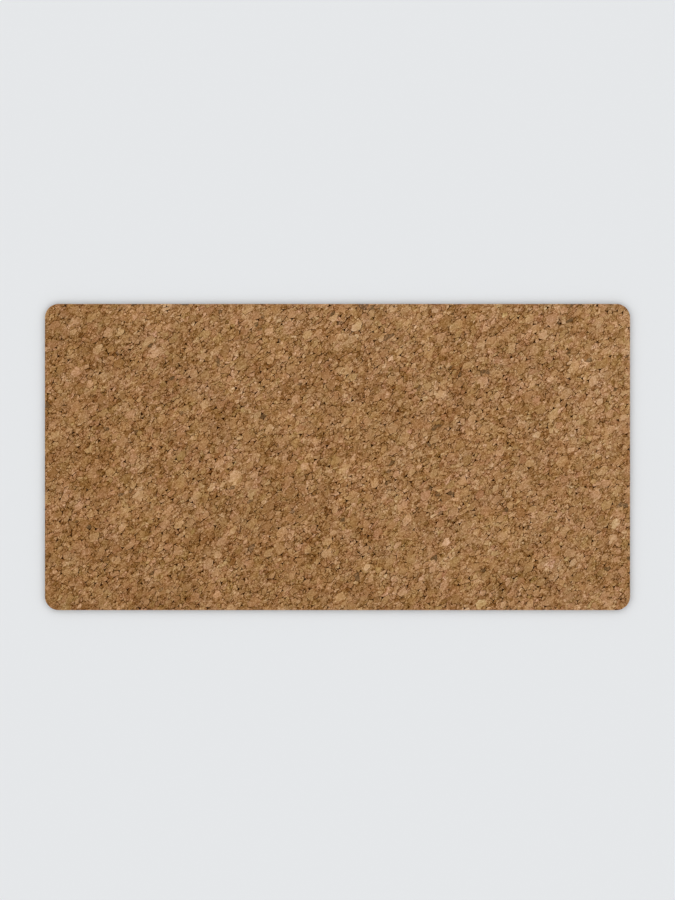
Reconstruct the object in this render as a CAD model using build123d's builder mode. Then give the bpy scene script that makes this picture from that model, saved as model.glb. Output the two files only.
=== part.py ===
from build123d import *
import os

# A desk mat: a flat laminate of five layers, bonded face to face and then die-cut
# together, so that every layer has the same outline and the edges are flush.
#
# Millimetres, +Z up. The origin is the centre of the underside. +X runs along the
# length, and -Y points towards the person at the desk.

# ---- driving dimensions -------------------------------------------------------------

mat_length = 600.0
mat_width = 314.0
corner_radius = 14.0

rubber_thickness = 2.0  # sponge-rubber base, the anti-slip underside
adhesive_thickness = 0.1  # each of the two laminating films
scrim_thickness = 0.3  # woven backing that keeps the cork from tearing
cork_thickness = 1.5  # agglomerated cork facing, the work surface

rubber_edge_round = 0.2  # the die drags the soft rubber round a little at the bottom
cork_edge_round = 0.3  # the cork's sanded top edge

# ---- heights of the layers, from the desk up ----------------------------------------

rubber_bottom = 0.0
base_adhesive_bottom = rubber_bottom + rubber_thickness
scrim_bottom = base_adhesive_bottom + adhesive_thickness
facing_adhesive_bottom = scrim_bottom + scrim_thickness
cork_bottom = facing_adhesive_bottom + adhesive_thickness

# ---- sponge-rubber base -------------------------------------------------------------

with BuildPart() as rubber_base:
    with BuildSketch(Plane.XY.offset(rubber_bottom)):
        RectangleRounded(mat_length, mat_width, corner_radius)
    extrude(amount=rubber_thickness)
    fillet(rubber_base.edges().group_by(Axis.Z)[0], radius=rubber_edge_round)

# ---- adhesive film between the base and the scrim -----------------------------------

with BuildPart() as base_adhesive:
    with BuildSketch(Plane.XY.offset(base_adhesive_bottom)):
        RectangleRounded(mat_length, mat_width, corner_radius)
    extrude(amount=adhesive_thickness)

# ---- woven scrim --------------------------------------------------------------------

with BuildPart() as textile_scrim:
    with BuildSketch(Plane.XY.offset(scrim_bottom)):
        RectangleRounded(mat_length, mat_width, corner_radius)
    extrude(amount=scrim_thickness)

# ---- adhesive film between the scrim and the cork -----------------------------------

with BuildPart() as facing_adhesive:
    with BuildSketch(Plane.XY.offset(facing_adhesive_bottom)):
        RectangleRounded(mat_length, mat_width, corner_radius)
    extrude(amount=adhesive_thickness)

# ---- cork facing --------------------------------------------------------------------

with BuildPart() as cork_sheet:
    with BuildSketch(Plane.XY.offset(cork_bottom)):
        RectangleRounded(mat_length, mat_width, corner_radius)
    extrude(amount=cork_thickness)
    fillet(cork_sheet.edges().group_by(Axis.Z)[-1], radius=cork_edge_round)

# ---- one file per layer -------------------------------------------------------------

rubber_base.part.label = "rubber_base"
base_adhesive.part.label = "base_adhesive"
textile_scrim.part.label = "textile_scrim"
facing_adhesive.part.label = "facing_adhesive"
cork_sheet.part.label = "cork_sheet"

os.makedirs("parts", exist_ok=True)
for layer in (rubber_base, base_adhesive, textile_scrim, facing_adhesive, cork_sheet):
    export_step(layer.part, f"parts/{layer.part.label}.step")
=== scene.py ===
import math

import bmesh
import bpy
import numpy as np
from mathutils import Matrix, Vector
from mathutils.geometry import delaunay_2d_cdt, intersect_line_line_2d


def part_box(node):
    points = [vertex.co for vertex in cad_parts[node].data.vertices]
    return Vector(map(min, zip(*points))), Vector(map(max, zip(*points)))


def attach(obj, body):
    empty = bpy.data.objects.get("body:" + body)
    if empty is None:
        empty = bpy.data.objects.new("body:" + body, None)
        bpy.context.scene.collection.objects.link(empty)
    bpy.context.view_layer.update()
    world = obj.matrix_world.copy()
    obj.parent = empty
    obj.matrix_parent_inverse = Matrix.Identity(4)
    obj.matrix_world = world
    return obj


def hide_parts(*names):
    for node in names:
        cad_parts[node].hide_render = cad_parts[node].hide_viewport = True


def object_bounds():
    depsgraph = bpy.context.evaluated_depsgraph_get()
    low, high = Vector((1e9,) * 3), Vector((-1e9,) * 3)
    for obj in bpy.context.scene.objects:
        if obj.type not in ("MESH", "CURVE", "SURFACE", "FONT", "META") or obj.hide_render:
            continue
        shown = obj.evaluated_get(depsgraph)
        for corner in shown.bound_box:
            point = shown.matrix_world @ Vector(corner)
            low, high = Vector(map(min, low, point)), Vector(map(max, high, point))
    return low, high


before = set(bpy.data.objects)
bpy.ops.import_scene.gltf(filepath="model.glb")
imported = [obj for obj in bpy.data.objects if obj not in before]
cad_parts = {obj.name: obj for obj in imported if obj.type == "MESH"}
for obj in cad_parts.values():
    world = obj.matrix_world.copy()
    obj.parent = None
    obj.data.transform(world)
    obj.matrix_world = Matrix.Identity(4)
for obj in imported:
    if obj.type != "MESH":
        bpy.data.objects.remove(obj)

# A cork-faced desk mat: a mosaic of cork granules on a woven scrim and a sponge-rubber base.
# Blender's objects are in metres. The meshes are built in millimetres, and scaled when finished.

cad_low, cad_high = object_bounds()
MM = 0.001
SEED = 20

# ---- the outline that the cutting die gives every layer, mm ----------------------------

HALF_LENGTH = cad_high.x / MM
HALF_WIDTH = cad_high.y / MM
CORNER_RADIUS = 14.0
FEWEST_TURNS = 4  # steps round a corner

# ---- cork facing, mm -------------------------------------------------------------------

GRAIN_ANGLE = math.radians(43)  # the granules lie along this direction
GRAIN_STRETCH = 1.5  # a granule's usual length over its breadth
GRAIN_SPACING = 4.0  # between the seeds that the granules grow from
GRAIN_JITTER = 0.42  # how far a seed strays, as a share of the spacing
SEED_MARGIN = 3 * GRAIN_SPACING  # the seeds reach this far beyond the outline
PAIR_SHARE = 0.3  # of the seeds that join a neighbour, for a longer granule
CHIP_COUNT = 1500  # large flat chips
CHIP_RADIUS = (2.2, 6.2)
CHIP_RIM = 1.5  # how far the seeds on each side of a chip's edge stand from it
CHIP_RARITY = 3.0  # larger for fewer chips of the largest sizes
CHIP_EDGE = 4.5  # usual length of one edge of a chip
FEWEST_EDGES = 4  # of a chip
EDGE_STRAY = 0.3  # how far an edge strays round its chip, as a share of their spacing
EDGE_REACH = (0.6, 1.2)  # from a chip's centre to an edge, as a share of its radius
EDGE_ROOM = 0.6  # a chip's rim is never wider than this share of the way to its edge
FIRST_EDGE = 6.0  # a chip's first edge lies up to this far round it, in radians
CHIP_GAP = 0.9  # the least room between two chips
CREVICE_HALF_WIDTH = 0.38
CREVICE_DEPTH = 0.10  # usual depth of the seam between two granules
CREVICE_EVENNESS = 2.0  # larger for seams that are more alike in depth
TOP_SUNK = 0.03  # usual depth of a granule's top below the highest
DEEPEST_TOP = 0.15
PIT_DEPTH = 0.38
DEEPEST_CREVICE = PIT_DEPTH / 2
PIT_COUNT = 700  # holes where three granules don't quite meet
PIT_CLUSTERS = 70  # places that the holes gather round
PIT_SPREAD = 6.0  # smaller for tighter gatherings
PIT_SIZE = 1.1  # from a hole's centre to its corners
PIT_GROWTH = (0.4, 1.35)
BARK_SHARE = 0.007  # of the granules that are dark outer bark
CHIP_PALER = 0.42  # usual extra tone of a chip; the tone of granules has a spread of 1
CHIP_DARKER = 0.2  # taken from every chip's tone
CORK_EDGE_ROUND = 0.3
CORK_EDGE_NOTCH = (-0.05, 0.12)  # mean and spread of how far the edge stands back; 0 if less than 0
CORK_WALL_NOTCH = (-0.05, 0.1)
RIM_STEP = 1.6  # longest edge along the cut edge that isn't divided
RIM_ROOM = 0.2  # the raised tops stay this far inside the cut edge
SMALLEST_TOP = 2.0  # square mm: a smaller crumb stays sunk

# ---- rules for building a mosaic, mm ---------------------------------------------------

CORNER_CUTS = 12  # straight cuts round each corner of the outline
WELD = 0.01
SEED_WELD = 1e-5  # seeds nearer than this count as one
PLACE_DIGITS = 3  # decimals that tell two places apart
SHORTEST_EDGE = 0.7
WIDEST_MITRE = 0.35
NARROWEST_NECK = 2.0  # between two cells that may join
NARROWER_TRIES = 5  # for a border that crosses itself or folds over
ROOM_TO_CENTRE = 0.4  # share of the way to a face's centre that its border may take

# ---- rubber base, mm -------------------------------------------------------------------

PAD_PITCH = 4.0  # between the raised diamonds of the underside
PAD_BEVEL = 0.55
GROOVE_DEPTH = 0.25
SMALLEST_PAD = PAD_PITCH**2 / 3  # square mm: a smaller one at the cut edge isn't raised
RUBBER_EDGE_ROUND = 0.2
RUBBER_WALL_NOTCH = (0.0, 0.03)

# ---- scrim and adhesive films, mm ------------------------------------------------------

YARN_PITCH = 0.9
YARN_END = 0.05  # how far the cut yarn ends stand in and out
FILM_INSET = 0.08  # how far the films stay back from the cut edge
FILM_STEP = 3.0  # between the points of a film's outline


# ======================================================================= geometry helpers


def corner_centres():
    """The centres of the outline's four round corners, anticlockwise."""
    x = HALF_LENGTH - CORNER_RADIUS
    y = HALF_WIDTH - CORNER_RADIUS
    return (x, y), (-x, y), (-x, -y), (x, -y)


def rounded_outline(step, inset=0.0):
    """Points round the die-cut outline, anticlockwise and about step apart."""
    radius = CORNER_RADIUS - inset
    turns = max(FEWEST_TURNS, round(radius * math.pi / 2 / step))
    corners = []
    for quarter, centre in enumerate(corner_centres()):
        for k in range(turns + 1):
            angle = (quarter + k / turns) * math.pi / 2
            corners.append(Vector(centre) + radius * Vector((math.cos(angle), math.sin(angle))))
    points = []
    for start, end in zip(corners, corners[1:] + corners[:1]):
        pieces = max(1, round((end - start).length / step))
        points += [start.lerp(end, k / pieces) for k in range(pieces)]
    return points


def beyond_outline(points):
    """How far each point lies outside the outline, and less than 0 inside it."""
    reach = np.abs(points) - (HALF_LENGTH - CORNER_RADIUS, HALF_WIDTH - CORNER_RADIUS)
    outside = np.linalg.norm(np.maximum(reach, 0), axis=1)
    return outside + np.minimum(reach.max(axis=1), 0) - CORNER_RADIUS


def outward(point):
    """The direction straight out of the outline at a point near its edge."""
    x = math.copysign(max(abs(point.x) - HALF_LENGTH + CORNER_RADIUS, 0), point.x)
    y = math.copysign(max(abs(point.y) - HALF_WIDTH + CORNER_RADIUS, 0), point.y)
    return Vector((x, y, 0)).normalized()


def voronoi_cells(sites):
    """The sites' Voronoi cells: their corners, each cell as corner numbers, and the close neighbours."""
    made = delaunay_2d_cdt([Vector(p) for p in sites], [], [], 0, SEED_WELD)
    points = np.array([tuple(p) for p in made[0]])
    triangles = np.array(made[2])
    a, b, c = (points[triangles[:, k]] for k in range(3))
    aa, bb, cc = ((p**2).sum(axis=1) for p in (a, b, c))
    double = 2 * (a[:, 0] * (b - c)[:, 1] + b[:, 0] * (c - a)[:, 1] + c[:, 0] * (a - b)[:, 1])
    centre_x = (aa * (b - c)[:, 1] + bb * (c - a)[:, 1] + cc * (a - b)[:, 1]) / double
    centre_y = (aa * (c - b)[:, 0] + bb * (a - c)[:, 0] + cc * (b - a)[:, 0]) / double
    corners = np.stack([centre_x, centre_y], axis=1)
    site = triangles.ravel()
    corner = np.repeat(np.arange(len(triangles)), 3)
    away = corners[corner] - points[site]
    order = np.lexsort((np.arctan2(away[:, 1], away[:, 0]), site))
    site, corner = site[order], corner[order]
    cells = np.split(corner, np.flatnonzero(np.diff(site)) + 1)
    sides = np.concatenate([triangles[:, ends] for ends in ([0, 1], [1, 2], [2, 0])])
    sides = np.sort(sides, axis=1)
    order = np.lexsort(sides.T)
    sides = sides[order]
    corner = np.tile(np.arange(len(triangles)), 3)[order]
    twice = np.flatnonzero((sides[1:] == sides[:-1]).all(axis=1))
    shared = np.linalg.norm(corners[corner[twice]] - corners[corner[twice + 1]], axis=1)
    return corners, cells, sides[twice[shared > NARROWEST_NECK]]


def by_place(elements):
    """Vertices or faces sorted by where they are, for random draws.

    The order that Blender keeps them in isn't the same in every run."""

    def place(element):
        centre = element.co if isinstance(element, bmesh.types.BMVert) else element.calc_center_median()
        return tuple(round(value, PLACE_DIGITS) for value in centre)

    return sorted(elements, key=place)


def outline_cuts():
    """The outline as straight cuts: the direction out of each, and its distance from the centre."""
    cuts = []
    for quarter, centre in enumerate(corner_centres()):
        for k in range(CORNER_CUTS):
            angle = (quarter + k / CORNER_CUTS) * math.pi / 2
            out = np.array([math.cos(angle), math.sin(angle)])
            cuts.append((out, out @ np.array(centre) + CORNER_RADIUS))
    return cuts


def cut_polygon(polygon, out, reach):
    """What is left of a convex polygon inside one straight cut."""
    over = polygon @ out - reach
    if over.max() <= 0:
        return polygon
    kept = []
    for k in range(len(polygon)):
        if over[k - 1] * over[k] < 0:
            share = over[k - 1] / (over[k - 1] - over[k])
            kept.append(polygon[k - 1] + (polygon[k] - polygon[k - 1]) * share)
        if over[k] <= 0:
            kept.append(polygon[k])
    return np.array(kept).reshape(-1, 2)


def outer_loops(cells):
    """The outlines of a group of touching cells, as corner numbers, without the edges that they share."""
    edges = {edge for cell in cells for edge in zip(cell, np.roll(cell, -1))}
    following = {a: b for a, b in edges if (b, a) not in edges}
    loops = []
    while following:
        loop = [next(iter(following))]
        while loop[-1] in following:
            loop.append(following.pop(loop[-1]))
        loops.append(loop[1:])
    return loops


def mosaic(corners, cells, groups):
    """The cells as faces of a flat bmesh, cut off at the outline.

    Cells of one group become one face, except at the outline. The layer "group" keeps their group."""
    bm = bmesh.new()
    group = bm.faces.layers.int.new("group")
    beyond = beyond_outline(corners)
    cuts = outline_cuts()
    made = {}
    whole = {}

    def corner(k):
        if k not in made:
            made[k] = bm.verts.new((*corners[k], 0))
        return made[k]

    for cell, number in zip(cells, groups):
        if beyond[cell].max() < 0:
            whole.setdefault(number, []).append(cell)
            continue
        polygon = corners[cell]
        for out, reach in cuts:
            if len(polygon):
                polygon = cut_polygon(polygon, out, reach)
        if len(polygon) > 2:
            bm.faces.new([bm.verts.new((*point, 0)) for point in polygon])[group] = number
    for number, members in whole.items():
        for loop in outer_loops(members):
            bm.faces.new([corner(k) for k in loop])[group] = number
    bmesh.ops.remove_doubles(bm, verts=bm.verts, dist=WELD)
    return bm


def crosses_itself(points):
    """Whether a closed outline crosses itself."""
    sides = list(zip(points, points[1:] + points[:1]))
    for i, side in enumerate(sides):
        for other in sides[i + 2 : len(sides) - (i == 0)]:
            if intersect_line_line_2d(*side, *other):
                return True
    return False


def folds_over(outer, inner):
    """Whether the border between an anticlockwise outline and its inner one is turned over anywhere."""
    for k in range(len(outer)):
        side = outer[k] - outer[k - 1]
        across = inner[k] - outer[k - 1]
        back = inner[k - 1] - outer[k - 1]
        if side.cross(across) < 0 or across.cross(back) < 0:
            return True
    return False


def inner_outline(points, centre, width):
    """An outline moved inwards by this width, but never more than part of the way to the centre."""
    inner = []
    for before, point, after in zip(points[-1:] + points[:-1], points, points[1:] + points[:1]):
        coming = (point - before).normalized()
        going = (after - point).normalized()
        inward = Vector((-coming.y - going.y, coming.x + going.x))
        inward *= width / max(1 + coming.dot(going), WIDEST_MITRE)
        room = ROOM_TO_CENTRE * (centre - point).length
        if inward.length > room:
            inward *= room / inward.length
        inner.append(point + inward)
    return inner


def raise_tops(bm, width, smallest):
    """Gives each face a top inside a sloping border of this width, and returns the tops.

    Holes, and faces smaller than the smallest area, have no top and stay as they are."""
    group = bm.faces.layers.int["group"]
    tops = []
    for face in [f for f in bm.faces if f[group] >= 0 and f.calc_area() > smallest]:
        ring = list(face.verts)
        outline = [v.co.to_2d() for v in ring]
        centre = face.calc_center_median().to_2d()
        for narrowing in range(NARROWER_TRIES):
            points = inner_outline(outline, centre, width / 2**narrowing)
            if not crosses_itself(points) and not folds_over(outline, points):
                break
        inner = [bm.verts.new((*point, 0)) for point in points]
        top = bm.faces.new(inner)
        top[group] = face[group]
        tops.append(top)
        for k in range(len(ring)):
            bm.faces.new((ring[k - 1], ring[k], inner[k], inner[k - 1]))[group] = face[group]
        bm.faces.remove(face)
    return tops


def notch(rng, mean, spread):
    """How far a point of a slightly ragged edge stands back from the outline."""
    return max(rng.normal(mean, spread), 0)


def set_back(vertex, distance):
    """Moves a vertex near the cut edge to stand this far inside the outline."""
    beyond = beyond_outline(np.array([vertex.co[:2]]))[0]
    vertex.co -= outward(vertex.co) * (beyond + distance)


def collapse_short_edges(bm):
    """Merges the ends of each short edge, and puts the boundary back on the outline."""
    short = [e for e in bm.edges if e.calc_length() < SHORTEST_EDGE]
    bmesh.ops.collapse(bm, edges=short)
    for v in bm.verts:
        if v.is_boundary:
            set_back(v, 0)


def keep_inside(verts, room):
    """Moves the vertices that are nearer to the outline than this, or outside it, to this far inside."""
    verts = list(verts)
    beyond = beyond_outline(np.array([v.co[:2] for v in verts]))
    for k in np.flatnonzero(beyond > -room):
        set_back(verts[k], room)


def wall_to(bm, heights, rng, notches):
    """Ragged walls from the mosaic's boundary through the heights, and a flat face that closes the end."""
    edges = [e for e in bm.edges if len(e.link_faces) == 1]
    for height in heights:
        made = bmesh.ops.extrude_edge_only(bm, edges=edges)["geom"]
        edges = [e for e in made if isinstance(e, bmesh.types.BMEdge) and len(e.link_faces) == 1]
        for v in by_place({v for e in edges for v in e.verts}):
            set_back(v, notch(rng, *notches))
            v.co.z = height
    bmesh.ops.edgeloop_fill(bm, edges=edges)


def add_object(name, data):
    made = bpy.data.objects.new(name, data)
    bpy.context.scene.collection.objects.link(made)
    return made


def add_mesh(name, bm, material):
    """Turns a bmesh into an object with this material, and frees the bmesh."""
    mesh = bpy.data.meshes.new(name)
    bm.to_mesh(mesh)
    bm.free()
    mesh.materials.append(material)
    return add_object(name, mesh)


def finish_piece(name, bm, material, node):
    """Turns a bmesh in millimetres into a piece that replaces a CAD node."""
    bmesh.ops.recalc_face_normals(bm, faces=bm.faces)
    bmesh.ops.scale(bm, vec=(MM, MM, MM), verts=bm.verts)
    piece = add_mesh(name, bm, material)
    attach(piece, "root")
    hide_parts(node)
    return piece


# ============================================================================== the pieces


def grain_seeds(rng):
    """Seeds of the granules on a jittered triangular lattice, in a frame squeezed along the grain."""
    reach = math.hypot(HALF_LENGTH, HALF_WIDTH) * math.sqrt(GRAIN_STRETCH) + SEED_MARGIN
    rows = np.arange(-reach, reach, GRAIN_SPACING * math.sqrt(0.75))
    columns = np.arange(-reach, reach, GRAIN_SPACING)
    u, v = np.meshgrid(columns, rows)
    u[1::2] += GRAIN_SPACING / 2
    seeds = np.stack([u.ravel(), v.ravel()], axis=1)
    seeds += rng.uniform(-GRAIN_JITTER, GRAIN_JITTER, seeds.shape) * GRAIN_SPACING
    return seeds[beyond_outline(along_grain(seeds)) < SEED_MARGIN]


def along_grain(points):
    """From the squeezed frame of the seeds to the mat: stretched along the grain, then turned."""
    u = points[:, 0] * math.sqrt(GRAIN_STRETCH)
    v = points[:, 1] / math.sqrt(GRAIN_STRETCH)
    x = u * math.cos(GRAIN_ANGLE) - v * math.sin(GRAIN_ANGLE)
    y = u * math.sin(GRAIN_ANGLE) + v * math.cos(GRAIN_ANGLE)
    return np.stack([x, y], axis=1)


def place_chips(seeds, rng):
    """The centres and radii of the large chips, which don't overlap. The largest come first."""
    spread = np.sort(rng.uniform(0, 1, CHIP_COUNT))[::-1] ** CHIP_RARITY
    sizes = CHIP_RADIUS[0] + spread * (CHIP_RADIUS[1] - CHIP_RADIUS[0])
    centres = np.full((CHIP_COUNT, 2), np.inf)
    placed = 0
    for candidate in rng.permutation(seeds):
        if placed < CHIP_COUNT:
            room = np.hypot(*(centres - candidate).T) - sizes - sizes[placed]
            if room.min() > CHIP_GAP:
                centres[placed] = candidate
                placed += 1
    return centres[:placed], sizes[:placed]


def with_chips(seeds, rng):
    """Clears the seeds round each chip, and puts a seed on each side of each of the chip's edges.

    Returns the seeds, and the chip that each belongs to or -1."""
    centres, sizes = place_chips(seeds, rng)
    inner = []
    outer = []
    owners = []
    for chip, (centre, size) in enumerate(zip(centres, sizes)):
        seeds = seeds[np.hypot(*(seeds - centre).T) > size + 2 * CHIP_RIM]
        count = max(FEWEST_EDGES, round(2 * math.pi * size / CHIP_EDGE))
        stray = rng.uniform(-EDGE_STRAY, EDGE_STRAY, count)
        turns = (np.arange(count) + stray) * 2 * math.pi / count + rng.uniform(0, FIRST_EDGE)
        directions = np.stack([np.cos(turns), np.sin(turns)], axis=1)
        edges = size * rng.uniform(*EDGE_REACH, (count, 1))
        rims = np.minimum(CHIP_RIM, EDGE_ROOM * edges)
        inner.append(centre + directions * (edges - rims))
        outer.append(centre + directions * (edges + rims))
        owners += [chip] * count
    owners = np.array(owners)
    inner = np.concatenate(inner)
    outer = np.concatenate(outer)
    room = np.hypot(*(outer[:, None] - centres[None]).transpose(2, 0, 1)) - sizes
    room[np.arange(len(outer)), owners] = np.inf
    outer = outer[room.min(axis=1) > 0]
    alone = np.full(len(seeds) + len(outer), -1)
    return np.concatenate([seeds, outer, inner]), np.concatenate([alone, owners])


def group_seeds(owners, neighbours, rng):
    """The granule that each seed belongs to: its chip, or alone, or with one neighbour."""
    granule = owners.copy()
    following = owners.max() + 1
    for a, b in rng.permutation(neighbours):
        if granule[a] < 0 and granule[b] < 0 and rng.uniform() < PAIR_SHARE:
            granule[[a, b]] = following
            following += 1
    alone = granule < 0
    granule[alone] = following + np.arange(alone.sum())
    return granule


def open_pits(bm, rng):
    """Cuts small holes at some of the corners where three granules meet. Their group is -1."""
    group = bm.faces.layers.int["group"]
    room = PIT_SIZE + SHORTEST_EDGE
    junctions = [v for v in bm.verts if len(v.link_edges) == 3 and not v.is_boundary]
    junctions = [v for v in junctions if min(e.calc_length() for e in v.link_edges) > room]
    junctions = by_place(junctions)
    places = np.array([v.co[:2] for v in junctions])
    clusters = rng.uniform(-1, 1, (PIT_CLUSTERS, 2)) * (HALF_LENGTH, HALF_WIDTH)
    distances = np.linalg.norm(places[:, None] - clusters[None], axis=2).min(axis=1)
    chosen = []
    taken = set()
    for k in np.argsort(rng.exponential(1, len(junctions)) * (PIT_SPREAD + distances)):
        around = {e.other_vert(junctions[k]) for e in junctions[k].link_edges} | {junctions[k]}
        if len(chosen) < PIT_COUNT and not around & taken:
            taken |= around
            chosen.append(junctions[k])
    made = bmesh.ops.bevel(bm, geom=chosen, offset=PIT_SIZE, affect="VERTICES", segments=1)
    for face in by_place(made["faces"]):
        face[group] = -1
        centre = face.calc_center_median()
        growth = rng.uniform(*PIT_GROWTH)
        for v in face.verts:
            v.co = centre + (v.co - centre) * growth


def make_cork_sheet(material):
    """The mosaic of granules, with sunk seams and open holes between their raised tops."""
    rng = np.random.default_rng(SEED)
    low, high = (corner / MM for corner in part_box("cork_sheet"))
    seeds, owners = with_chips(grain_seeds(rng), rng)
    corners, cells, neighbours = voronoi_cells(seeds)
    granule = group_seeds(owners, neighbours, rng)
    bm = mosaic(along_grain(corners), cells, granule)
    collapse_short_edges(bm)
    rim = [e for e in bm.edges if e.is_boundary and e.calc_length() > RIM_STEP]
    bmesh.ops.subdivide_edges(bm, edges=rim, cuts=1)
    open_pits(bm, rng)

    tops = raise_tops(bm, CREVICE_HALF_WIDTH, SMALLEST_TOP)
    group = bm.faces.layers.int["group"]
    for v in by_place(bm.verts):
        depth = PIT_DEPTH
        if all(face[group] >= 0 for face in v.link_faces):
            usual = rng.gamma(CREVICE_EVENNESS, 1 / CREVICE_EVENNESS)
            depth = min(CREVICE_DEPTH * usual, DEEPEST_CREVICE)
        v.co.z = high.z - depth
    for face in by_place(tops):
        sunk = min(rng.exponential(TOP_SUNK), DEEPEST_TOP)
        for v in face.verts:
            v.co.z = high.z - sunk
    for v in by_place(v for v in bm.verts if v.is_boundary):
        set_back(v, notch(rng, *CORK_EDGE_NOTCH))
        v.co.z = high.z - CORK_EDGE_ROUND
    on_top = {v for face in tops for v in face.verts}
    keep_inside(on_top, RIM_ROOM)
    sunken = {v for v in bm.verts if not v.is_boundary} - on_top
    slivers = [face for face in bm.faces if all(v.is_boundary for v in face.verts)]
    bmesh.ops.delete(bm, geom=slivers, context="FACES")
    wall_to(bm, [(low.z + high.z) / 2, low.z], rng, CORK_WALL_NOTCH)
    mark_granules(bm, granule.max() + 1, owners.max(), sunken, rng)
    return finish_piece("cork_sheet_mosaic", bm, material, "cork_sheet")


def mark_granules(bm, count, last_chip, sunken, rng):
    """Stores what the cork's finish needs: each granule's looks, and how deep each point of a seam is, for
    the painted shade in the seams and holes.
    """
    surface = max(v.co.z for v in bm.verts)
    depths = [surface - v.co.z if v in sunken else 0.0 for v in bm.verts]
    is_chip = np.arange(count) <= last_chip
    looks = {
        "tone": rng.normal(0, 1, count) + is_chip * (rng.exponential(CHIP_PALER, count) - CHIP_DARKER),
        "tint": rng.normal(0, 1, count),
        "chip": is_chip,
        "bark": (rng.uniform(0, 1, count) < BARK_SHARE) & ~is_chip,
    }
    group = bm.faces.layers.int["group"]
    for name, values in looks.items():
        layer = bm.faces.layers.float.new(name)
        for face in bm.faces:
            face[layer] = float(values[face[group]])
    layer = bm.verts.layers.float.new("depth")
    for v, depth in zip(bm.verts, depths):
        v[layer] = depth


def make_rubber_base(material):
    """The slab, with raised diamonds and grooves between them on its underside."""
    rng = np.random.default_rng(SEED + 1)
    low, high = (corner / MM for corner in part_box("rubber_base"))
    reach = math.ceil((HALF_LENGTH + HALF_WIDTH) / PAD_PITCH)
    corners = []
    cells = []
    for i in range(-reach, reach):
        for j in range(-reach, reach):
            square = [(i, j), (i + 1, j), (i + 1, j + 1), (i, j + 1)]
            turned = np.array([(a - b, a + b) for a, b in square]) * PAD_PITCH * math.sqrt(0.5)
            if beyond_outline(turned).min() < PAD_PITCH:
                cells.append(list(range(len(corners), len(corners) + 4)))
                corners += list(turned)
    bm = mosaic(np.array(corners), cells, range(len(cells)))
    collapse_short_edges(bm)
    pads = raise_tops(bm, PAD_BEVEL, SMALLEST_PAD)
    for v in bm.verts:
        v.co.z = low.z + GROOVE_DEPTH
    for face in pads:
        for v in face.verts:
            v.co.z = low.z
    for v in bm.verts:
        if v.is_boundary:
            v.co.z = low.z + RUBBER_EDGE_ROUND
    wall_to(bm, [(low.z + high.z) / 2, high.z], rng, RUBBER_WALL_NOTCH)
    return finish_piece("rubber_base_embossed", bm, material, "rubber_base")


def make_flat_layer(name, node, material, loop):
    """A closed flat layer between the two faces of its CAD node, with this outline."""
    low, high = (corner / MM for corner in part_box(node))
    bm = bmesh.new()
    under = [bm.verts.new((x, y, low.z)) for x, y in loop]
    over = [bm.verts.new((x, y, high.z)) for x, y in loop]
    bm.faces.new(under[::-1])
    bm.faces.new(over)
    for k in range(len(loop)):
        bm.faces.new((under[k - 1], under[k], over[k], over[k - 1]))
    return finish_piece(name, bm, material, node)


def yarn_end_outline():
    """The outline with one small step in and out for each cut yarn end."""
    points = rounded_outline(YARN_PITCH / 2, YARN_END)
    loop = []
    for k, p in enumerate(points):
        away = outward(p.to_3d())
        loop.append(tuple((p.to_3d() + away * YARN_END * (1 if k % 2 else -1))[:2]))
    return loop


# ============================================================================ the materials


WHITE_LEVEL = 255  # of a display colour
NEW_STOP = 0.5  # where a ramp's new stop starts, before it is moved

# Cork keeps about the same differences between red, green and blue from its seams to its palest chips.
CORK_CAST = (36, -6, -48.5)
CORK_LEVELS = (20, 50, 80, 105, 130, 155, 185, 225)
CORK_START = 130.0  # an average granule's level, before its seams and crumbs
CORK_BLACK = 36  # below this level the seams fade from brown to black
CORK_PALE = 165  # above this level the chips fade towards white

# The cork's tone is built up in levels of lightness. Sizes and depths are in mm.
WOBBLE_SIZE = 1.8  # of the noise that makes every outline in the finish uneven
WOBBLE_REACH = 1.6
TONE_LEVELS = 9.0  # for one step of a granule's tone
CLOUD_SIZE = 45.0
CLOUD_LEVELS = 52.0
PAINTED_LIGHT_LEVELS = (5.0, 3.0)  # painted light, in levels, from the mat's centre to its right end, and to its far side
CRUMB_SIZE = 2.4
CRUMB_LEVELS = (36.0, 18.0)  # in a granule, and in a chip
MOTTLE_SIZE = 1.1
MOTTLE_LEVELS = (156.0, 134.0)  # in a granule, and in a chip
BREAK_SIZE = 3.0
BREAK_BAND = (0.42, 0.58)  # of the noise, from closed to open seams
SEAM_SHADE_LEVELS = (46.0, 160.0)  # levels of painted shade in a closed seam, and in an open one
SEAM_DEPTH = 0.15  # a seam this deep gets the full painted shade
GAP_BAND = (0.03, 0.09)  # from the middle of a gap between two crumbs to its edge, in crumbs
# painted shade in the gaps between crumbs, in levels
GAP_SHADE_LEVELS = 70.0
HOLE_DEPTH = 0.34  # a hole this deep gets the full painted shade
# painted shade in the holes, in levels, added to the seams'
HOLE_SHADE_LEVELS = 70.0
HUE_SIZE = 13.0
HUE_CHANGES = ((0, 0.02, 0.20), (2, 0.04, 0.46))  # colour channel, by granule, by place
BARK_COLOUR = (92, 69, 44)
BARK_SPOTS = 1.6
BARK_BAND = (0.35, 0.6)  # of the noise, from thin to thick bark
BARK_COVER = (0.3, 0.9)
CORK_BUMP = 0.3

PORE_SIZE = 0.6
PORE_BAND = (0.0, 0.4)  # from a pore's middle to its rim, in pores
# painted shade in the open pores, darkest at their middle
PORE_PAINTED_SHADE = (0.6, 1.0)
RUBBER_CLOUDS = 14.0
RUBBER_CLOUD_BAND = (0.2, 0.8)
RUBBER_CLOUD_SHADE = (0.8, 1.0)
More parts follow.
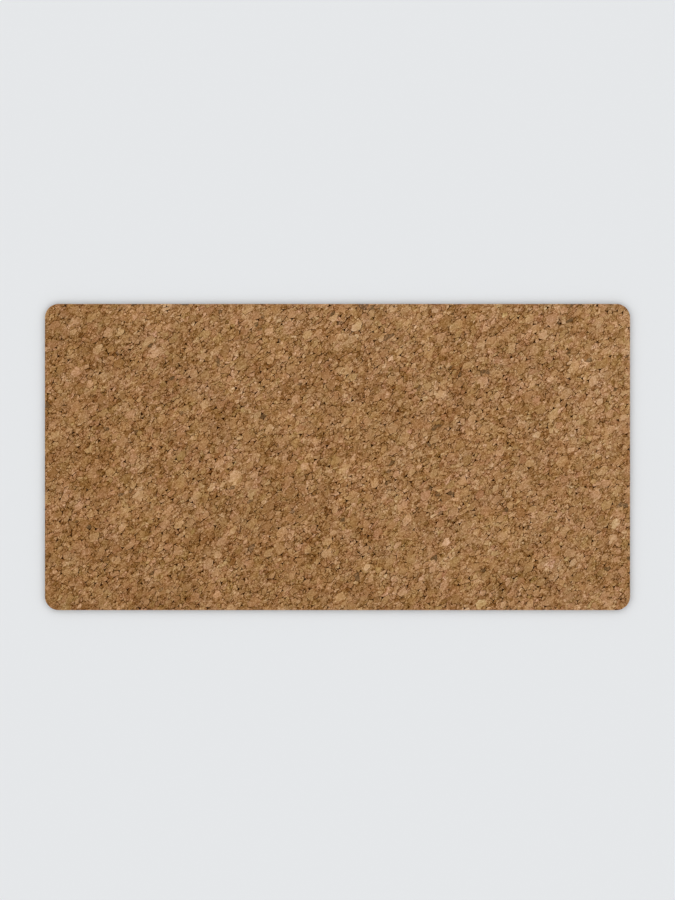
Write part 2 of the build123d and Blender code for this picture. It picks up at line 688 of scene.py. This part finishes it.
# painted shade in the grooves between the pads, and on the wall above them
GROOVE_PAINTED_SHADE = 0.7
RUBBER_BAND = (0.3, 0.9)  # of the shade, from the dark colour to the pale one
RUBBER_COLOURS = ((24, 24, 24), (62, 61, 60))
RUBBER_ROUGHNESS = (0.95, 0.72)

SCRIM_SPOTS = 3.0
SCRIM_BAND = (0.2, 0.9)
SCRIM_COLOURS = ((150, 138, 112), (205, 196, 172))
YARN_SHADE = 0.5

ADHESIVE_SPOTS = 2.0
ADHESIVE_BAND = (0.3, 0.7)
ADHESIVE_COLOURS = ((150, 128, 88), (188, 168, 124))
ADHESIVE_ROUGHNESS = (0.35, 0.55)


def linear(*display):
    """A display colour as linear light, by the sRGB curve."""
    shares = [level / WHITE_LEVEL for level in display]
    return tuple(s / 12.92 if s < 0.04045 else ((s + 0.055) / 1.055) ** 2.4 for s in shares)


def set_stops(ramp, stops):
    """Gives a colour ramp these places and colours."""
    while len(ramp.elements) < len(stops):
        ramp.elements.new(NEW_STOP)
    for element, (place, colour) in zip(ramp.elements, stops):
        element.position = place
        element.color = (*colour, 1)


class Finish:
    """A material's nodes, with a short call for each kind that the finishes share."""

    def __init__(self, name):
        self.material = bpy.data.materials.new(name)
        self.material.use_nodes = True
        self.tree = self.material.node_tree
        self.shader = self.tree.nodes["Principled BSDF"]
        place = self.node("ShaderNodeTexCoord").outputs["Object"]
        self.place = self.vector("MULTIPLY", place, (1 / MM, 1 / MM, 1 / MM))

    def node(self, kind, **settings):
        made = self.tree.nodes.new(kind)
        for key, value in settings.items():
            setattr(made, key, value)
        return made

    def put(self, value, socket):
        if isinstance(value, bpy.types.NodeSocket):
            self.tree.links.new(value, socket)
        else:
            socket.default_value = value

    def math(self, operation, a, b=0.0, clamp=False):
        made = self.node("ShaderNodeMath", operation=operation, use_clamp=clamp)
        self.put(a, made.inputs[0])
        self.put(b, made.inputs[1])
        return made.outputs[0]

    def vector(self, operation, a, b):
        made = self.node("ShaderNodeVectorMath", operation=operation)
        self.put(a, made.inputs[0])
        self.put(b, made.inputs[1])
        return made.outputs[0]

    def fit(self, value, low, high, to_low=0.0, to_high=1.0):
        """value's range low to high, smoothly, onto to_low to to_high."""
        made = self.node("ShaderNodeMapRange", interpolation_type="SMOOTHSTEP")
        for socket, number in zip(made.inputs[:5], (value, low, high, to_low, to_high)):
            self.put(number, socket)
        return made.outputs[0]

    def mix(self, factor, a, b):
        made = self.node("ShaderNodeMix", data_type="RGBA")
        self.put(factor, made.inputs["Factor"])
        colours = [s for s in made.inputs if s.type == "RGBA"]
        self.put(a, colours[0])
        self.put(b, colours[1])
        return next(s for s in made.outputs if s.type == "RGBA")

    def ramp(self, value, stops):
        made = self.node("ShaderNodeValToRGB")
        set_stops(made.color_ramp, stops)
        self.put(value, made.inputs[0])
        return made.outputs[0]

    def two_tone(self, shade, band, colours):
        """The base colour, from the first colour to the second as the shade crosses the band."""
        stops = [(place, linear(*colour)) for place, colour in zip(band, colours)]
        self.put(self.ramp(shade, stops), self.shader.inputs["Base Color"])

    def turned(self, angle, stretch, place):
        """Coordinates turned so that X runs along the angle, and squeezed along X by stretch."""
        made = self.node("ShaderNodeMapping", vector_type="TEXTURE")
        self.put(place, made.inputs["Vector"])
        made.inputs["Rotation"].default_value = (0, 0, angle)
        made.inputs["Scale"].default_value = (math.sqrt(stretch), 1 / math.sqrt(stretch), 1)
        return made.outputs[0]

    def noise(self, place, size, detail=2.0, roughness=0.5, output=0):
        """Noise with features about size across, around 0.5."""
        made = self.node("ShaderNodeTexNoise")
        self.put(place, made.inputs["Vector"])
        made.inputs["Scale"].default_value = 1 / size
        made.inputs["Detail"].default_value = detail
        made.inputs["Roughness"].default_value = roughness
        return made.outputs[output]

    def cells(self, place, size, feature="F1"):
        made = self.node("ShaderNodeTexVoronoi", feature=feature)
        self.put(place, made.inputs["Vector"])
        made.inputs["Scale"].default_value = 1 / size
        return made.outputs

    def channel(self, colour, index):
        """One of the three numbers of a colour or a place."""
        made = self.node("ShaderNodeSeparateXYZ")
        self.put(colour, made.inputs[0])
        return made.outputs[index]

    def centred(self, value):
        return self.math("SUBTRACT", value, 0.5)

    def scaled(self, value, factor):
        return self.math("MULTIPLY", value, factor)

    def attribute(self, name):
        return self.node("ShaderNodeAttribute", attribute_name=name).outputs["Fac"]

    def bump(self, height, distance):
        made = self.node("ShaderNodeBump")
        made.inputs["Distance"].default_value = distance * MM
        self.put(height, made.inputs["Height"])
        self.put(made.outputs[0], self.shader.inputs["Normal"])


def cork_colour(level):
    """Cork of this lightness, as linear light."""
    share = min(level / CORK_BLACK, 1, CORK_PALE / level)
    return linear(*(max(level + cast * share, 0) for cast in CORK_CAST))


def cork_level(f, grain):
    """The lightness of granules, chips and crumbs, with painted light towards the mat's right end and far
    side, before the painted shade of what lies between them darkens it.
    """
    chip = f.attribute("chip")
    clouds = f.noise(f.place, CLOUD_SIZE, detail=3.0, roughness=0.6)
    crumbs = f.channel(f.cells(grain, CRUMB_SIZE)["Color"], 0)
    mottle = f.noise(grain, MOTTLE_SIZE, roughness=0.6)
    parts = [
        f.scaled(f.attribute("tone"), TONE_LEVELS),
        f.scaled(f.centred(clouds), CLOUD_LEVELS),
        # painted light: lighter towards the mat's right end and its far side
        f.scaled(f.channel(f.place, 0), PAINTED_LIGHT_LEVELS[0] / HALF_LENGTH),
        f.scaled(f.channel(f.place, 1), PAINTED_LIGHT_LEVELS[1] / HALF_WIDTH),
        f.math("MULTIPLY", f.centred(crumbs), f.fit(chip, 0, 1, *CRUMB_LEVELS)),
        f.math("MULTIPLY", f.centred(mottle), f.fit(chip, 0, 1, *MOTTLE_LEVELS)),
    ]
    level = CORK_START
    for part in parts:
        level = f.math("ADD", part, level)
    return level


def cork_painted_shade(f, grain):
    """How many levels of painted shade darken the seams, the gaps between crumbs and the holes."""
    depth = f.attribute("depth")
    broken = f.fit(f.noise(f.place, BREAK_SIZE), *BREAK_BAND)
    # painted shade in the seams, darker the deeper they are
    seams = f.math("MULTIPLY", f.fit(depth, 0.0, SEAM_DEPTH), f.fit(broken, 0, 1, *SEAM_SHADE_LEVELS))
    # painted shade in the gaps between crumbs, except on chips
    crumb_edge = f.cells(grain, CRUMB_SIZE, "DISTANCE_TO_EDGE")["Distance"]
    gaps = f.math("MULTIPLY", f.fit(crumb_edge, *GAP_BAND, GAP_SHADE_LEVELS, 0.0), broken)
    gaps = f.math("MULTIPLY", gaps, f.math("SUBTRACT", 1.0, f.attribute("chip")))
    # painted shade in the holes, darker the deeper they are, on top of the seams'
    holes = f.fit(depth, SEAM_DEPTH, HOLE_DEPTH, 0.0, HOLE_SHADE_LEVELS)
    return f.math("ADD", f.math("MAXIMUM", seams, gaps), holes)


def cork_tints(f):
    """What red, green and blue are multiplied by, from granule to granule and from place to place."""
    drift = f.noise(f.place, HUE_SIZE, detail=3.0, output=1)
    tints = f.node("ShaderNodeCombineXYZ")
    tints.inputs[1].default_value = 1.0
    for channel, granule_share, place_share in HUE_CHANGES:
        tint = f.scaled(f.attribute("tint"), granule_share)
        tint = f.math("ADD", tint, f.scaled(f.centred(f.channel(drift, channel)), place_share))
        f.put(f.math("ADD", tint, 1.0), tints.inputs[channel])
    return tints.outputs[0]


def cork_finish():
    """Granules of varied tone, with crumbs in them, and seams and holes between them that are darkened
    with painted shade.
    """
    f = Finish("cork_granules")
    wobble = f.vector("SUBTRACT", f.noise(f.place, WOBBLE_SIZE, output=1), (0.5, 0.5, 0.5))
    wobble = f.vector("MULTIPLY", wobble, (WOBBLE_REACH, WOBBLE_REACH, WOBBLE_REACH))
    grain = f.turned(GRAIN_ANGLE, GRAIN_STRETCH, f.vector("ADD", f.place, wobble))

    # the painted shade of seams, crumb gaps and holes darkens the lightness
    level = f.math("SUBTRACT", cork_level(f, grain), cork_painted_shade(f, grain))
    tone = f.scaled(level, 1 / WHITE_LEVEL)
    colour = f.ramp(tone, [(step / WHITE_LEVEL, cork_colour(step)) for step in CORK_LEVELS])
    colour = f.vector("MULTIPLY", colour, cork_tints(f))

    bark = f.fit(f.noise(f.place, BARK_SPOTS), *BARK_BAND, *BARK_COVER)
    bark = f.math("MULTIPLY", f.attribute("bark"), bark)
    colour = f.mix(bark, colour, (*linear(*BARK_COLOUR), 1))
    f.put(colour, f.shader.inputs["Base Color"])
    f.shader.inputs["Roughness"].default_value = 0.85
    f.shader.inputs["Specular IOR Level"].default_value = 0.03
    f.bump(tone, CORK_BUMP)
    return f.material


def rubber_finish():
    """Fine open pores, slight clouding, and grooves between the pads, with painted shade in the pores, in
    the grooves and on the wall above them.
    """
    f = Finish("sponge_rubber")
    pores = f.cells(f.place, PORE_SIZE)["Distance"]
    clouds = f.noise(f.place, RUBBER_CLOUDS, detail=4.0)
    clouds = f.fit(clouds, *RUBBER_CLOUD_BAND, *RUBBER_CLOUD_SHADE)
    # painted shade: darker from the pads to the grooves, and as dark on the wall above them
    grooves = f.fit(f.channel(f.place, 2), 0.0, GROOVE_DEPTH, 1.0, GROOVE_PAINTED_SHADE)
    # the pores' painted shade, with the clouding
    shade = f.math("MULTIPLY", clouds, f.fit(pores, *PORE_BAND, *PORE_PAINTED_SHADE))
    shade = f.math("MULTIPLY", shade, grooves)
    f.two_tone(shade, RUBBER_BAND, RUBBER_COLOURS)
    f.put(f.fit(shade, *RUBBER_BAND, *RUBBER_ROUGHNESS), f.shader.inputs["Roughness"])
    f.bump(pores, 0.1)
    return f.material


def scrim_finish():
    """Pale yarns with darker gaps, and slight blotches."""
    f = Finish("woven_scrim")
    yarns = f.node("ShaderNodeTexWave", wave_type="BANDS", bands_direction="DIAGONAL")
    f.put(f.place, yarns.inputs["Vector"])
    yarns.inputs["Scale"].default_value = 1 / YARN_PITCH
    yarn_shade = f.scaled(yarns.outputs["Fac"], YARN_SHADE)
    shade = f.math("ADD", yarn_shade, f.noise(f.place, SCRIM_SPOTS), clamp=True)
    f.two_tone(shade, SCRIM_BAND, SCRIM_COLOURS)
    f.shader.inputs["Roughness"].default_value = 0.9
    f.bump(shade, 0.05)
    return f.material


def adhesive_finish():
    """Dried adhesive, slightly blotched."""
    f = Finish("laminating_adhesive")
    shade = f.noise(f.place, ADHESIVE_SPOTS, detail=3.0, roughness=0.6)
    f.two_tone(shade, ADHESIVE_BAND, ADHESIVE_COLOURS)
    f.put(f.fit(shade, *ADHESIVE_BAND, *ADHESIVE_ROUGHNESS), f.shader.inputs["Roughness"])
    f.bump(shade, 0.03)
    return f.material


def floor_finish():
    f = Finish("pale_floor")
    f.shader.inputs["Base Color"].default_value = (*FLOOR_COLOUR, 1)
    f.shader.inputs["Roughness"].default_value = 1.0
    f.shader.inputs["Specular IOR Level"].default_value = 0.0
    return f.material


# ================================================================ camera, lights and floor

PICTURE = (675, 900)  # the picture's size, for the camera's framing
MAT_SHARE = 0.867  # of the picture's width that the mat's length takes
MAT_DROP = 0.0072  # metres that the mat's centre lies below the picture's
LENS = 100.0
SENSOR = 36.0  # along the picture's long side
FLOOR_COLOUR = (0.79, 0.806, 0.822)
FLOOR_SIZE = 20.0
FLOOR_PARTS = 8
DOME_LIGHT = (  # height, from 0 at the horizon to 1 straight above, and light
    (0.0, 0.48),
    (0.22, 0.47),
    (0.36, 1.0),
    (0.62, 0.95),
    (0.85, 0.26),
    (1.0, 0.21),
)
DOME_STRENGTH = 1.67


def add_camera():
    """Straight above the mat, with a long lens."""
    data = bpy.data.cameras.new("camera")
    data.lens = LENS
    data.sensor_width = SENSOR
    camera = add_object("camera", data)
    seen_width = (cad_high.x - cad_low.x) / MAT_SHARE
    seen_height = seen_width * PICTURE[1] / PICTURE[0]
    camera.location = (0, MAT_DROP, cad_high.z + seen_height * LENS / SENSOR)
    bpy.context.scene.camera = camera


def add_lights():
    """A white dome that is brightest part of the way up, as a ring of large softboxes is."""
    world = bpy.data.worlds.new("studio")
    bpy.context.scene.world = world
    world.use_nodes = True
    nodes = world.node_tree.nodes
    links = world.node_tree.links
    direction = nodes.new("ShaderNodeSeparateXYZ")
    dome = nodes.new("ShaderNodeValToRGB")
    set_stops(dome.color_ramp, [(height, (light, light, light)) for height, light in DOME_LIGHT])
    links.new(nodes.new("ShaderNodeTexCoord").outputs["Generated"], direction.inputs[0])
    links.new(direction.outputs["Z"], dome.inputs[0])
    links.new(dome.outputs[0], nodes["Background"].inputs["Color"])
    nodes["Background"].inputs["Strength"].default_value = DOME_STRENGTH


def add_floor(material):
    bm = bmesh.new()
    bmesh.ops.create_grid(bm, x_segments=FLOOR_PARTS, y_segments=FLOOR_PARTS, size=FLOOR_SIZE / 2)
    floor = add_mesh("floor", bm, material)
    floor.location.z = cad_low.z


add_camera()
add_lights()
add_floor(floor_finish())
bpy.context.scene.view_settings.view_transform = "Standard"

make_cork_sheet(cork_finish())
rubber_base = make_rubber_base(rubber_finish())

scrim = make_flat_layer("scrim_cloth", "textile_scrim", scrim_finish(), yarn_end_outline())

adhesive = adhesive_finish()
film_outline = [tuple(p) for p in rounded_outline(FILM_STEP, FILM_INSET)]
for node in ("base_adhesive", "facing_adhesive"):
    make_flat_layer(node + "_film", node, adhesive, film_outline)
